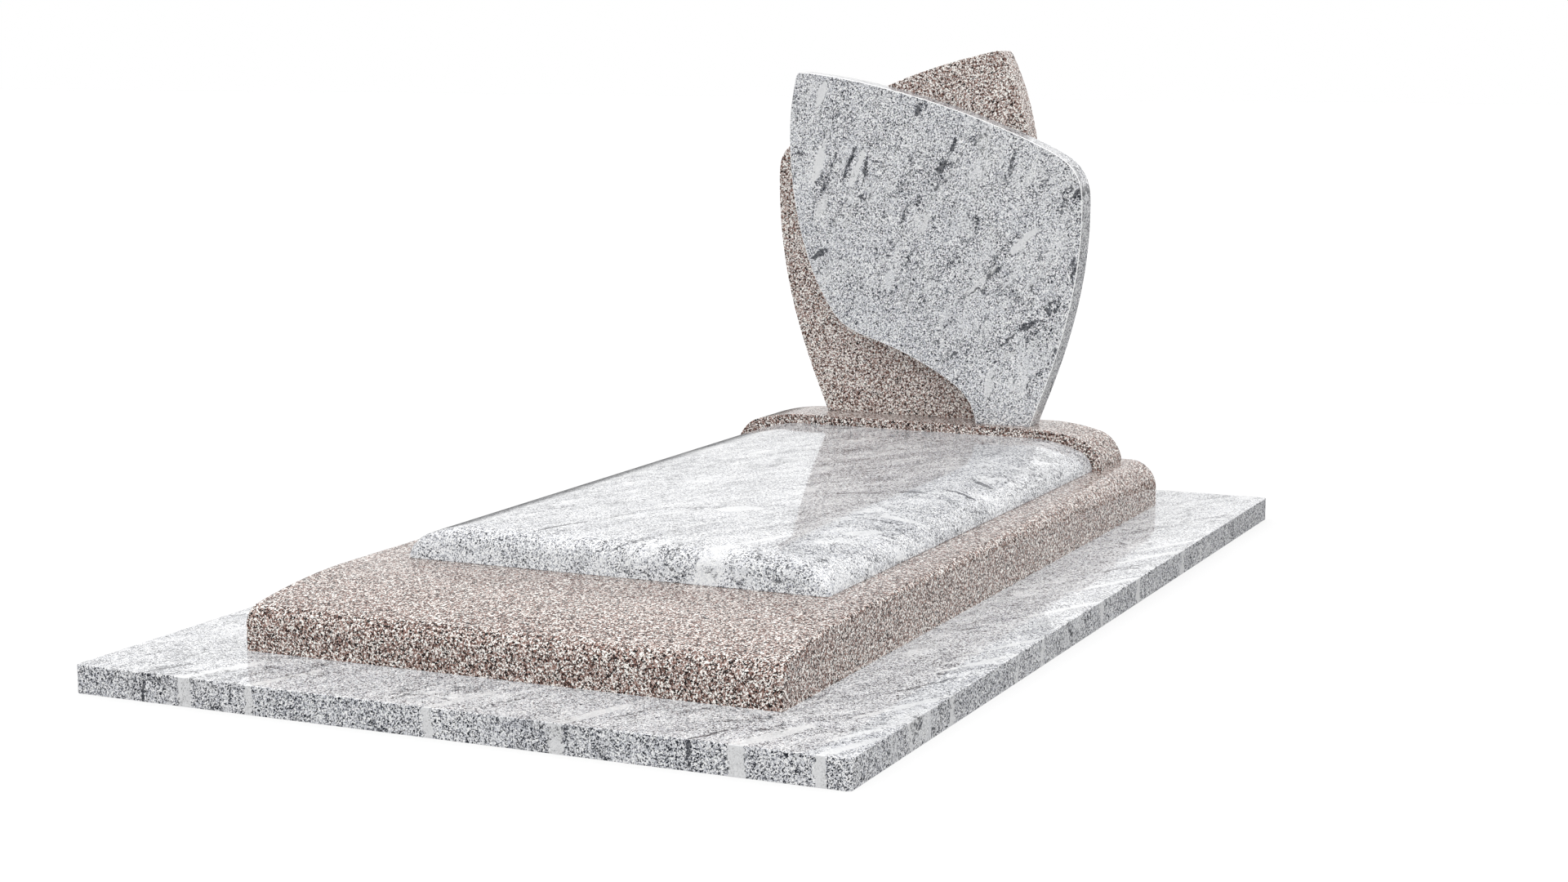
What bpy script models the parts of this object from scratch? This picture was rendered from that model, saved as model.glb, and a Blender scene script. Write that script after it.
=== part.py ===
"""A polished granite grave monument, in metres.

The origin is the centre of the underside, +Z is up, and the headstone stands at the +Y end. Six stones rest
on each other: a base slab, a surround, a crowned lid, the headstone's plinth, and a headstone of two
overlapping leaves.
"""

import math

import bmesh
import bpy

# Joint left between two stones that rest on each other.
JOINT = 0.0003

# Base slab of grey granite.
BASE_WIDTH = 1.400
BASE_LENGTH = 2.400
BASE_HEIGHT = 0.049
BASE_CORNER_RADIUS = 0.008
BASE_ARRIS = 0.0015

# Surround of pink granite: a flat top that falls away towards the foot end.
SURROUND_WIDTH = 1.000
SURROUND_LENGTH = 2.000
SURROUND_HEIGHT = 0.100
SURROUND_FRONT_ROUND = 0.028
SURROUND_FALL = 0.028
SURROUND_FALL_RUN = 0.300
SURROUND_SIDE_ROUND_FRONT = 0.006
SURROUND_SIDE_ROUND_BACK = 0.060

# Headstone plinth of pink granite, and the border of the surround that shows behind it.
PLINTH_DEPTH = 0.150
PLINTH_BACK_BORDER = 0.050

# Lid of grey granite, lying in front of the plinth. Its top is level in the middle and crowned at the sides.
LID_WIDTH = 0.830
LID_HEIGHT = 0.064
LID_FRONT_BORDER = 0.373
LID_FLAT_WIDTH = 0.544
LID_EDGE_ROUND = 0.028
LID_CORNER_RADIUS = 0.012
CROWN_DROP = 0.034
LID_FRONT_DROP = 0.008
LID_FRONT_RUN = 0.100

# Power of the blend where the lid's crowned sides meet its front: a higher one gives a sharper corner.
LID_BLEND = 6

# The plinth repeats the lid's section, and stands proud of it by this much all round.
PLINTH_PROUD = 0.020

# Headstone leaves: the grey one in front, the pink one behind it and level with the plinth's back.
LEAF_THICKNESS = 0.060
LEAF_ARRIS = 0.003
FRONT_LEAF_HEIGHT = 0.770
REAR_LEAF_HEIGHT = 0.820

# Outlines of the leaves as shares of their own height, clockwise from the left foot as seen from the front:
# across, up, direction of travel in degrees, and the lengths of the curve's handles before and after.
FRONT_LEAF_OUTLINE = (
    (0.174, 0.000, 99.0, 0.000, 0.074),
    (0.052, 0.143, 150.4, 0.083, 0.219),
    (-0.274, 0.304, 125.6, 0.101, 0.146),
    (-0.413, 0.817, 91.0, 0.221, 0.069),
    (-0.394, 0.981, 78.0, 0.039, 0.012),
    (-0.375, 0.998, -5.5, 0.012, 0.260),
    (0.385, 0.784, -25.7, 0.218, 0.082),
    (0.484, 0.633, -89.5, 0.078, 0.300),
    (0.339, 0.000, -109.0, 0.110, 0.000),
)
REAR_LEAF_OUTLINE = (
    (-0.302, 0.000, 113.5, 0.000, 0.219),
    (-0.452, 0.641, 90.0, 0.256, 0.055),
    (-0.419, 0.734, 38.0, 0.030, 0.232),
    (0.178, 0.994, 12.0, 0.207, 0.020),
    (0.209, 0.980, -64.0, 0.017, 0.158),
    (0.293, 0.520, -90.0, 0.183, 0.195),
    (0.226, 0.000, -104.0, 0.171, 0.000),
)

# Fineness of the rounded stretches, and the places of the points along the lid's front edge and behind its
# corners, as shares of the way from its middle to a corner and of the run of its front.
ARC_STEPS = 6
CROWN_STEPS = 6
LENGTH_STEPS = 8
OUTLINE_STEPS = 10
ACROSS_SHARES = (0.92, 0.84, 0.76, 0.68, 0.34, 0.0)
BEHIND_SHARES = (1.0, 0.75, 0.5, 0.25)
SMOOTH_ANGLE = math.radians(30)

# Levels and lines that follow from the sizes above.
SURROUND_BOTTOM = BASE_HEIGHT + JOINT
SURROUND_TOP = SURROUND_BOTTOM + SURROUND_HEIGHT
LID_BOTTOM = SURROUND_TOP + JOINT
PLINTH_BOTTOM = SURROUND_TOP + JOINT
SURROUND_FRONT = -SURROUND_LENGTH / 2
SURROUND_BACK = SURROUND_LENGTH / 2
PLINTH_BACK = SURROUND_BACK - PLINTH_BACK_BORDER
PLINTH_FRONT = PLINTH_BACK - PLINTH_DEPTH
LID_FRONT = SURROUND_FRONT + LID_FRONT_BORDER
LID_BACK = PLINTH_FRONT - JOINT
PLINTH_WIDTH = LID_WIDTH + 2 * PLINTH_PROUD
PLINTH_HEIGHT = LID_HEIGHT + PLINTH_PROUD
PLINTH_TOP = PLINTH_BOTTOM + PLINTH_HEIGHT
REAR_LEAF_MIDDLE = PLINTH_BACK - LEAF_THICKNESS / 2
FRONT_LEAF_MIDDLE = REAR_LEAF_MIDDLE - LEAF_THICKNESS - JOINT


def clear_scene():
    """Removes every object from the scene."""
    for obj in list(bpy.data.objects):
        bpy.data.objects.remove(obj, do_unlink=True)


def make_collection(name):
    """Makes a collection in the scene."""
    collection = bpy.data.collections.new(name)
    bpy.context.scene.collection.children.link(collection)
    return collection


def granite(name, color, roughness):
    """A polished stone, as one Principled BSDF."""
    material = bpy.data.materials.new(name)
    material.use_nodes = True
    shader = material.node_tree.nodes["Principled BSDF"]
    shader.inputs["Base Color"].default_value = (*color, 1.0)
    shader.inputs["Roughness"].default_value = roughness
    shader.inputs["Metallic"].default_value = 0.0
    return material


def finish_mesh(bm, name, collection, material):
    """Turns a bmesh into a named object with outward faces and smooth rounds."""
    bmesh.ops.recalc_face_normals(bm, faces=bm.faces[:])
    mesh = bpy.data.meshes.new(name)
    bm.to_mesh(mesh)
    bm.free()
    mesh.shade_smooth()
    mesh.set_sharp_from_angle(angle=SMOOTH_ANGLE)
    obj = bpy.data.objects.new(name, mesh)
    collection.objects.link(obj)
    if material:
        mesh.materials.append(material)
    return obj


def loft(sections):
    """A closed solid through a row of closed sections that have as many points each."""
    bm = bmesh.new()
    rows = [[bm.verts.new(point) for point in section] for section in sections]
    for near, far in zip(rows, rows[1:]):
        for i in range(len(near)):
            j = (i + 1) % len(near)
            bm.faces.new((near[i], near[j], far[j], far[i]))
    bm.faces.new(rows[0])
    bm.faces.new(list(reversed(rows[-1])))
    return bm


def edge_fall(inset, radius):
    """How far a rounded edge lies below its top, at a distance inside its side."""
    if inset >= radius:
        return 0.0
    return radius - math.sqrt(radius**2 - (radius - inset) ** 2)


def crown_fall(inset, drop, run):
    """How far a crowned top has fallen at a distance inside its rim: the whole drop at the rim."""
    return drop * max(0.0, 1.0 - inset / run) ** 2


def round_insets(radius):
    """Distances inside the side at which a rounded edge has its points, even by angle."""
    return [radius * (1 - math.cos(math.radians(90 * i / ARC_STEPS))) for i in range(ARC_STEPS + 1)]


def crown_insets(radius, run):
    """The insets of a rounded edge, carried on to where the crowned top turns level."""
    level = [radius + (run - radius) * i / CROWN_STEPS for i in range(1, CROWN_STEPS + 1)]
    return round_insets(radius) + level


def make_base(collection, material):
    """The base slab: a flat box with eased upright corners and small arrises."""
    bm = bmesh.new()
    bmesh.ops.create_cube(bm, size=1.0)
    bmesh.ops.scale(bm, verts=bm.verts[:], vec=(BASE_WIDTH, BASE_LENGTH, BASE_HEIGHT))
    bmesh.ops.translate(bm, verts=bm.verts[:], vec=(0, 0, BASE_HEIGHT / 2))
    upright = [edge for edge in bm.edges if abs(edge.verts[0].co.z - edge.verts[1].co.z) > BASE_HEIGHT / 2]
    bmesh.ops.bevel(bm, geom=upright, offset=BASE_CORNER_RADIUS, segments=4, profile=0.5, affect="EDGES")
    top_rim = [edge for edge in bm.edges if edge.calc_face_angle() > math.radians(60)
               and min(vert.co.z for vert in edge.verts) > BASE_HEIGHT / 2]
    bmesh.ops.bevel(bm, geom=top_rim, offset=BASE_ARRIS, segments=2, profile=0.5, affect="EDGES")
    return finish_mesh(bm, "base_slab", collection, material)


def surround_section(inset):
    """The surround's cross-section at a distance behind its front face."""
    half = SURROUND_WIDTH / 2
    fall = crown_fall(inset, SURROUND_FALL, SURROUND_FALL_RUN) + edge_fall(inset, SURROUND_FRONT_ROUND)
    top = SURROUND_TOP - fall
    growth = SURROUND_SIDE_ROUND_BACK - SURROUND_SIDE_ROUND_FRONT
    radius = SURROUND_SIDE_ROUND_FRONT + growth * (inset / SURROUND_LENGTH) ** 2
    right = [(half, SURROUND_BOTTOM)]
    for side_inset in round_insets(radius):
        right.append((half - side_inset, top - edge_fall(side_inset, radius)))
    left = [(-x, z) for x, z in reversed(right)]
    return [(x, SURROUND_FRONT + inset, z) for x, z in right + left]


def make_surround(collection, material):
    """The surround: its side edges grow rounder from the foot end to the head end."""
    insets = crown_insets(SURROUND_FRONT_ROUND, SURROUND_FALL_RUN)
    rest = SURROUND_LENGTH - SURROUND_FALL_RUN
    insets += [SURROUND_FALL_RUN + rest * i / LENGTH_STEPS for i in range(1, LENGTH_STEPS + 1)]
    bm = loft([surround_section(inset) for inset in insets])
    return finish_mesh(bm, "surround", collection, material)


def crowned_section(width, height, edge_round, bottom, y):
    """A section with a level middle, crowned sides and rounded edges, standing on its flat bottom."""
    half = width / 2
    run = half - LID_FLAT_WIDTH / 2
    right = [(half, 0.0)]
    for inset in crown_insets(edge_round, run):
        fall = crown_fall(inset, CROWN_DROP, run) + edge_fall(inset, edge_round)
        right.append((half - inset, height - fall))
    left = [(-x, z) for x, z in reversed(right)]
    return [(x, y, bottom + z) for x, z in right + left]


def lid_fall(x, y):
    """How far the lid's crowned top lies below its middle, blended where the sides meet the front."""
    half = LID_WIDTH / 2
    side = crown_fall(half - abs(x), CROWN_DROP, half - LID_FLAT_WIDTH / 2)
    front = crown_fall(y - LID_FRONT, LID_FRONT_DROP, LID_FRONT_RUN)
    return (side**LID_BLEND + front**LID_BLEND) ** (1 / LID_BLEND)


def lid_rim(inset):
    """The right half of the lid's rim in plan, moved in by a distance, from its back to its middle."""
    corner_x = LID_WIDTH / 2 - inset - LID_CORNER_RADIUS
    corner_y = LID_FRONT + inset + LID_CORNER_RADIUS
    points = [(corner_x + LID_CORNER_RADIUS, LID_BACK)]
    for share in BEHIND_SHARES:
        points.append((corner_x + LID_CORNER_RADIUS, corner_y + share * LID_FRONT_RUN))
    for i in range(ARC_STEPS + 1):
        angle = math.radians(90 * i / ARC_STEPS)
        across = corner_x + LID_CORNER_RADIUS * math.cos(angle)
        points.append((across, corner_y - LID_CORNER_RADIUS * math.sin(angle)))
    for share in ACROSS_SHARES:
        points.append((corner_x * share, corner_y - LID_CORNER_RADIUS))
    return points


def make_lid(collection, material):
    """The lid: its rim in plan is moved in step by step over the rounded edge and the crowned top."""
    insets = crown_insets(LID_EDGE_ROUND, LID_WIDTH / 2 - LID_FLAT_WIDTH / 2)
    bm = bmesh.new()
    rings = []
    rims = [lid_rim(inset) for inset in insets]
    levels = [[LID_HEIGHT - lid_fall(x, y) - edge_fall(inset, LID_EDGE_ROUND) for x, y in rim]
              for rim, inset in zip(rims, insets)]
    rims.insert(0, rims[0])
    levels.insert(0, [0.0] * len(rims[0]))
    for rim, level in zip(rims, levels):
        right = [(x, y, LID_BOTTOM + z) for (x, y), z in zip(rim, level)]
        left = [(-x, y, z) for x, y, z in reversed(right[:-1])]
        rings.append([bm.verts.new(point) for point in right + left])
    for outer, inner in zip(rings, rings[1:]):
        for i in range(len(outer) - 1):
            bm.faces.new((outer[i], outer[i + 1], inner[i + 1], inner[i]))
    bm.faces.new(rings[0])
    bm.faces.new(rings[-1])
    bm.faces.new([ring[0] for ring in rings] + [ring[-1] for ring in reversed(rings)])
    return finish_mesh(bm, "lid", collection, material)


def make_plinth(collection, material):
    """The plinth: the lid's section, larger by what it stands proud."""
    edge_round = LID_EDGE_ROUND + PLINTH_PROUD
    ends = [crowned_section(PLINTH_WIDTH, PLINTH_HEIGHT, edge_round, PLINTH_BOTTOM, y)
            for y in (PLINTH_FRONT, PLINTH_BACK)]
    return finish_mesh(loft(ends), "headstone_plinth", collection, material)


def make_seat_cutter(collection):
    """The plinth's section raised by one joint, which the feet of the leaves are cut to."""
    edge_round = LID_EDGE_ROUND + PLINTH_PROUD
    ends = [crowned_section(PLINTH_WIDTH, PLINTH_HEIGHT, edge_round, PLINTH_BOTTOM + JOINT, y)
            for y in (PLINTH_FRONT - PLINTH_DEPTH, PLINTH_BACK + PLINTH_DEPTH)]
    cutter = finish_mesh(loft(ends), "seat_cutter", collection, None)
    cutter.hide_render = True
    cutter.display_type = "WIRE"
    return cutter


def leaf_slab(name, outline, height, middle):
    """A leaf as a slab of even thickness, from a filled Bezier outline whose foot runs on into the plinth."""
    curve = bpy.data.curves.new(name, "CURVE")
    curve.dimensions = "2D"
    curve.fill_mode = "BOTH"
    curve.extrude = LEAF_THICKNESS / 2
    curve.resolution_u = OUTLINE_STEPS
    curve.render_resolution_u = 0
    spline = curve.splines.new("BEZIER")
    spline.bezier_points.add(len(outline) + 1)
    spline.use_cyclic_u = True
    for point, (across, up, direction, before, after) in zip(spline.bezier_points, outline):
        angle = math.radians(direction)
        step_x = math.cos(angle) * height
        step_z = math.sin(angle) * height
        point.handle_left_type = "FREE"
        point.handle_right_type = "FREE"
        point.co = (across * height, up * height, 0)
        point.handle_left = (across * height - before * step_x, up * height - before * step_z, 0)
        point.handle_right = (across * height + after * step_x, up * height + after * step_z, 0)
    sunk = PLINTH_HEIGHT / 2
    for point, end in zip(spline.bezier_points[-2:], (outline[-1], outline[0])):
        lean = math.tan(math.radians(end[2]))
        point.co = (end[0] * height - sunk / lean, end[1] * height - sunk, 0)
        point.handle_left_type = "VECTOR"
        point.handle_right_type = "VECTOR"
    drawn = bpy.data.objects.new(name + "_outline", curve)
    bpy.context.scene.collection.objects.link(drawn)
    drawn.location = (0, middle, PLINTH_TOP)
    drawn.rotation_euler = (math.radians(90), 0, 0)
    bpy.context.view_layer.update()
    evaluated = drawn.evaluated_get(bpy.context.evaluated_depsgraph_get())
    mesh = bpy.data.meshes.new_from_object(evaluated)
    mesh.transform(drawn.matrix_world)
    bpy.data.objects.remove(drawn, do_unlink=True)
    bm = bmesh.new()
    bm.from_mesh(mesh)
    bpy.data.meshes.remove(mesh)
    bmesh.ops.remove_doubles(bm, verts=bm.verts[:], dist=0.0001)
    bm.normal_update()
    # Each side becomes one face, because the edges of its triangles would hold the arris back.
    sides = [face for face in bm.faces if abs(face.normal.y) > 0.999]
    bmesh.ops.dissolve_faces(bm, faces=sides)
    return bm


def make_leaf(name, outline, height, middle, cutter, collection, material):
    """A headstone leaf: rounded arrises, and a foot cut to the plinth's top."""
    leaf = finish_mesh(leaf_slab(name, outline, height, middle), name, collection, material)
    arris = leaf.modifiers.new("arris", "BEVEL")
    arris.width = LEAF_ARRIS
    arris.segments = 3
    arris.limit_method = "ANGLE"
    arris.angle_limit = math.radians(50)
    seat = leaf.modifiers.new("seat", "BOOLEAN")
    seat.operation = "DIFFERENCE"
    seat.solver = "EXACT"
    seat.object = cutter
    return leaf


def main():
    """Builds the six stones."""
    clear_scene()
    stones = make_collection("grave_monument")
    cutters = make_collection("cutters")
    grey = granite("grey_granite", (0.56, 0.57, 0.60), 0.12)
    pink = granite("pink_granite", (0.36, 0.28, 0.27), 0.14)
    make_base(stones, grey)
    make_surround(stones, pink)
    make_lid(stones, grey)
    make_plinth(stones, pink)
    cutter = make_seat_cutter(cutters)
    make_leaf("headstone_rear_leaf", REAR_LEAF_OUTLINE, REAR_LEAF_HEIGHT, REAR_LEAF_MIDDLE, cutter, stones, pink)
    make_leaf("headstone_front_leaf", FRONT_LEAF_OUTLINE, FRONT_LEAF_HEIGHT, FRONT_LEAF_MIDDLE, cutter, stones, grey)


main()
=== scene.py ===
"""Looks of a polished granite grave monument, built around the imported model.

Lengths are in metres in the row frame: the origin is the centre of the underside, +Z is up, and the
headstone stands at the +Y end. Each stone is built again with fine rounds and eased arrises, takes its place
and its size from its CAD node, and gets a granite made of nodes.
"""

import math

import bmesh
import bpy
from mathutils import Matrix, Vector


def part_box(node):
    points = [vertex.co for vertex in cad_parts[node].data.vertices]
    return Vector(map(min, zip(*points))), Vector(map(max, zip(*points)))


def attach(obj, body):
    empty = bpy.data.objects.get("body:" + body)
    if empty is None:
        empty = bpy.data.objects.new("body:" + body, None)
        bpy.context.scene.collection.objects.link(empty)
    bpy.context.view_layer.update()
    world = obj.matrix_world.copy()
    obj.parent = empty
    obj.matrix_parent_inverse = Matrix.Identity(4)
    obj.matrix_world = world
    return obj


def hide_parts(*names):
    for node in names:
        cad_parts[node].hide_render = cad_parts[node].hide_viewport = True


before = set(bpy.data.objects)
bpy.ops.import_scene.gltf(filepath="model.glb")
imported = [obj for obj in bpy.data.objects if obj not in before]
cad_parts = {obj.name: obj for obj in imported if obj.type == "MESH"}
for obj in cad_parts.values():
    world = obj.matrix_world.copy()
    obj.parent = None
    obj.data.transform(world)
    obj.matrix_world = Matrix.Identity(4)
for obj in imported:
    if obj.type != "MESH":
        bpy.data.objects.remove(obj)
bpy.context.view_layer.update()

# Roundings and slopes of the stones, as in the solids.
BASE_CORNER_RADIUS = 0.008
BASE_ARRIS = 0.0015
SURROUND_FRONT_ROUND = 0.028
SURROUND_FALL = 0.028
SURROUND_FALL_RUN = 0.300
SURROUND_SIDE_ROUND_FRONT = 0.006
SURROUND_SIDE_ROUND_BACK = 0.060
LID_FLAT_WIDTH = 0.544
LID_EDGE_ROUND = 0.028
LID_CORNER_RADIUS = 0.012
LID_FRONT_DROP = 0.008
LID_FRONT_RUN = 0.100
LID_BLEND = 6
CROWN_DROP = 0.034
PLINTH_PROUD = 0.020
LEAF_ARRIS = 0.003
JOINT = 0.0003

# Eased edges that are too small for the solids.
SAWN_ARRIS = 0.0012
SURROUND_CORNER_ARRIS = 0.003
PLINTH_END_ARRIS = 0.0025

# Outlines of the leaves as shares of their own height, clockwise from the left foot as seen from the front:
# across, up, direction of travel in degrees, and the lengths of the curve's handles before and after.
FRONT_LEAF_OUTLINE = (
    (0.174, 0.000, 99.0, 0.000, 0.074),
    (0.052, 0.143, 150.4, 0.083, 0.219),
    (-0.274, 0.304, 125.6, 0.101, 0.146),
    (-0.413, 0.817, 91.0, 0.221, 0.069),
    (-0.394, 0.981, 78.0, 0.039, 0.012),
    (-0.375, 0.998, -5.5, 0.012, 0.260),
    (0.385, 0.784, -25.7, 0.218, 0.082),
    (0.484, 0.633, -89.5, 0.078, 0.300),
    (0.339, 0.000, -109.0, 0.110, 0.000),
)
REAR_LEAF_OUTLINE = (
    (-0.302, 0.000, 113.5, 0.000, 0.219),
    (-0.452, 0.641, 90.0, 0.256, 0.055),
    (-0.419, 0.734, 38.0, 0.030, 0.232),
    (0.178, 0.994, 12.0, 0.207, 0.020),
    (0.209, 0.980, -64.0, 0.017, 0.158),
    (0.293, 0.520, -90.0, 0.183, 0.195),
    (0.226, 0.000, -104.0, 0.171, 0.000),
)
FRONT_LEAF_HEIGHT = 0.770
REAR_LEAF_HEIGHT = 0.820

# Fineness of the rounds.
ARC_STEPS = 20
CROWN_STEPS = 20
LENGTH_STEPS = 40
ARRIS_STEPS = 4
OUTLINE_STEPS = 26
LEAF_ARRIS_STEPS = 8
SHARP_ANGLE = math.radians(40)
LEAF_ARRIS_ANGLE = math.radians(50)

# Points nearer than this are one point, in general and on the leaves' outlines.
SAME_POINT = 0.00001
SAME_OUTLINE_POINT = 0.0001

# Brightness of the studio: what it gains overhead, and its level below the horizon, as it lights the stones
# and as they mirror it. The limits are heights of a direction, from 0 at the horizon to 1 straight up.
OVERHEAD_GAIN = 0.58
OVERHEAD_LIMITS = (0.2, 1.0)
HORIZON_LIMITS = (-0.03, 0.09)
DIFFUSE_BELOW = 0.75
GLOSSY_BELOW = 0.15
FLOOR_TONE = 0.80
FLOOR_SIZE = 40.0

# Stones that don't dim the ones beside them, as the studio's fill light reaches into the corners.
SHADELESS = ("surround", "base_slab")

# The photograph's camera.
IMAGE_WIDTH = 1920
FOCAL_PIXELS = 3213.8
SENSOR_WIDTH = 36.0
CAMERA_PLACE = (2.1342, -4.5797, 1.0752)
CAMERA_TURN = math.radians(24.507)
CAMERA_DIP = math.radians(8.707)
CAMERA_REACH = 200.0


# Shapes of the stones.


def edge_fall(inset, radius):
    """How far a rounded edge lies below its top, at a distance inside its side."""
    if inset >= radius:
        return 0.0
    return radius - math.sqrt(radius**2 - (radius - inset) ** 2)


def crown_fall(inset, drop, run):
    """How far a crowned top has fallen at a distance inside its rim: the whole drop at the rim."""
    return drop * max(0.0, 1.0 - inset / run) ** 2


def arc_insets(radius, steps=ARC_STEPS):
    """Distances inside the side at which a rounded edge has its points, even by angle."""
    return [radius * (1 - math.cos(math.radians(90 * i / steps))) for i in range(steps + 1)]


def crown_insets(radius, run):
    """The insets of a rounded edge, carried on to where the crowned top turns level."""
    return arc_insets(radius) + [radius + (run - radius) * i / CROWN_STEPS for i in range(1, CROWN_STEPS + 1)]


def bridge(bm, rings, closed=True):
    """Faces between rings of vertices that have as many points each."""
    rows = [[bm.verts.new(point) for point in ring] for ring in rings]
    for near, far in zip(rows, rows[1:]):
        for i in range(len(near) if closed else len(near) - 1):
            j = (i + 1) % len(near)
            bm.faces.new((near[i], near[j], far[j], far[i]))
    return rows


def add_piece(bm, node, material):
    """Turns a bmesh into a piece that stands for a CAD node."""
    bmesh.ops.recalc_face_normals(bm, faces=bm.faces[:])
    for face in bm.faces:
        face.smooth = True
    for edge in bm.edges:
        edge.smooth = edge.calc_face_angle(math.pi) < SHARP_ANGLE
    mesh = bpy.data.meshes.new(node + "_polished")
    bm.to_mesh(mesh)
    bm.free()
    piece = bpy.data.objects.new(node + "_polished", mesh)
    bpy.context.scene.collection.objects.link(piece)
    mesh.materials.append(material)
    even = piece.modifiers.new("even_normals", "WEIGHTED_NORMAL")
    even.weight = 100
    even.keep_sharp = True
    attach(piece, "root")
    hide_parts(node)
    piece.visible_diffuse = node not in SHADELESS


def rounded_rectangle(half_x, half_y, radius, z):
    """A rectangle in plan with round corners, as a ring of points."""
    ring = []
    for corner, (side_x, side_y) in enumerate(((1, 1), (-1, 1), (-1, -1), (1, -1))):
        for i in range(ARC_STEPS // 2 + 1):
            angle = math.radians(90 * (corner + 2 * i / ARC_STEPS))
            across = side_x * (half_x - radius) + radius * math.cos(angle)
            ring.append((across, side_y * (half_y - radius) + radius * math.sin(angle), z))
    return ring


def make_base(material):
    """The base slab, with an eased arris round its top and its underside."""
    low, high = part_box("base_slab")
    half_x, half_y = high.x, high.y
    rings = []
    for inset in reversed(arc_insets(SAWN_ARRIS, ARRIS_STEPS)):
        rise = edge_fall(inset, SAWN_ARRIS)
        rings.append((inset, low.z + rise))
    for inset in arc_insets(BASE_ARRIS, ARRIS_STEPS):
        rings.append((inset, high.z - edge_fall(inset, BASE_ARRIS)))
    bm = bmesh.new()
    rows = bridge(bm, [rounded_rectangle(half_x - inset, half_y - inset, BASE_CORNER_RADIUS - inset, z)
                       for inset, z in rings])
    bm.faces.new(rows[0])
    bm.faces.new(rows[-1])
    add_piece(bm, "base_slab", material)


def surround_section(inset, low, high):
    """The surround's cross-section at a distance behind its front face."""
    half = high.x - edge_fall(inset, SURROUND_CORNER_ARRIS)
    fall = crown_fall(inset, SURROUND_FALL, SURROUND_FALL_RUN) + edge_fall(inset, SURROUND_FRONT_ROUND)
    length = high.y - low.y
    growth = SURROUND_SIDE_ROUND_BACK - SURROUND_SIDE_ROUND_FRONT
    radius = SURROUND_SIDE_ROUND_FRONT + growth * (inset / length) ** 2
    back = edge_fall(length - inset, PLINTH_END_ARRIS)
    half -= back
    top = high.z - fall - back
    right = [(half, low.z)]
    for side_inset in arc_insets(radius):
        right.append((half - side_inset, top - edge_fall(side_inset, radius)))
    left = [(-x, z) for x, z in reversed(right)]
    return [(x, low.y + inset, z) for x, z in right + left]


def make_surround(material):
    """The surround: its side edges grow rounder from the foot end to the head end."""
    low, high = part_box("surround")
    length = high.y - low.y
    insets = set(arc_insets(SURROUND_CORNER_ARRIS, ARRIS_STEPS))
    insets.update(crown_insets(SURROUND_FRONT_ROUND, SURROUND_FALL_RUN))
    rest = length - PLINTH_END_ARRIS - SURROUND_FALL_RUN
    insets.update(SURROUND_FALL_RUN + rest * i / LENGTH_STEPS for i in range(1, LENGTH_STEPS + 1))
    insets.update(length - inset for inset in arc_insets(PLINTH_END_ARRIS, ARRIS_STEPS))
    bm = bmesh.new()
    rows = bridge(bm, [surround_section(inset, low, high) for inset in sorted(insets)])
    bm.faces.new(rows[0])
    bm.faces.new(rows[-1])
    bmesh.ops.remove_doubles(bm, verts=bm.verts[:], dist=SAME_POINT)
    add_piece(bm, "surround", material)


def lid_fall(x, y, low, high):
    """How far the lid's crowned top lies below its middle, blended where the sides meet the front."""
    side = crown_fall(high.x - abs(x), CROWN_DROP, high.x - LID_FLAT_WIDTH / 2)
    front = crown_fall(y - low.y, LID_FRONT_DROP, LID_FRONT_RUN)
    return (side**LID_BLEND + front**LID_BLEND) ** (1 / LID_BLEND)


def lid_rim(inset, low, high):
    """The right half of the lid's rim in plan, moved in by a distance, from its back to its middle."""
    corner_x = high.x - inset - LID_CORNER_RADIUS
    corner_y = low.y + inset + LID_CORNER_RADIUS
    points = []
    run = high.y - corner_y - LID_FRONT_RUN
    for i in range(LENGTH_STEPS // 2):
        points.append((corner_x + LID_CORNER_RADIUS, high.y - run * i / (LENGTH_STEPS // 2)))
    for i in range(CROWN_STEPS):
        points.append((corner_x + LID_CORNER_RADIUS, corner_y + LID_FRONT_RUN * (1 - i / CROWN_STEPS)))
    for i in range(ARC_STEPS + 1):
        angle = math.radians(90 * i / ARC_STEPS)
        across = corner_x + LID_CORNER_RADIUS * math.cos(angle)
        points.append((across, corner_y - LID_CORNER_RADIUS * math.sin(angle)))
    for i in range(1, LENGTH_STEPS + 1):
        points.append((corner_x * (1 - i / LENGTH_STEPS), corner_y - LID_CORNER_RADIUS))
    return points


def make_lid(material):
    """The lid: its rim in plan is moved in step by step over the rounded edge and the crowned top."""
    low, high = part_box("lid")
    rings = []
    for inset in reversed(arc_insets(SAWN_ARRIS, ARRIS_STEPS)):
        rise = edge_fall(inset, SAWN_ARRIS)
        rings.append([(x, y, low.z + rise) for x, y in lid_rim(inset, low, high)])
    for inset in crown_insets(LID_EDGE_ROUND, high.x - LID_FLAT_WIDTH / 2):
        top = high.z - edge_fall(inset, LID_EDGE_ROUND)
        rings.append([(x, y, top - lid_fall(x, y, low, high)) for x, y in lid_rim(inset, low, high)])
    rings = [ring + [(-x, y, z) for x, y, z in reversed(ring[:-1])] for ring in rings]
    bm = bmesh.new()
    rows = bridge(bm, rings, closed=False)
    bm.faces.new(rows[0])
    bm.faces.new(rows[-1])
    bm.faces.new([row[0] for row in rows] + [row[-1] for row in reversed(rows)])
    add_piece(bm, "lid", material)


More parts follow.
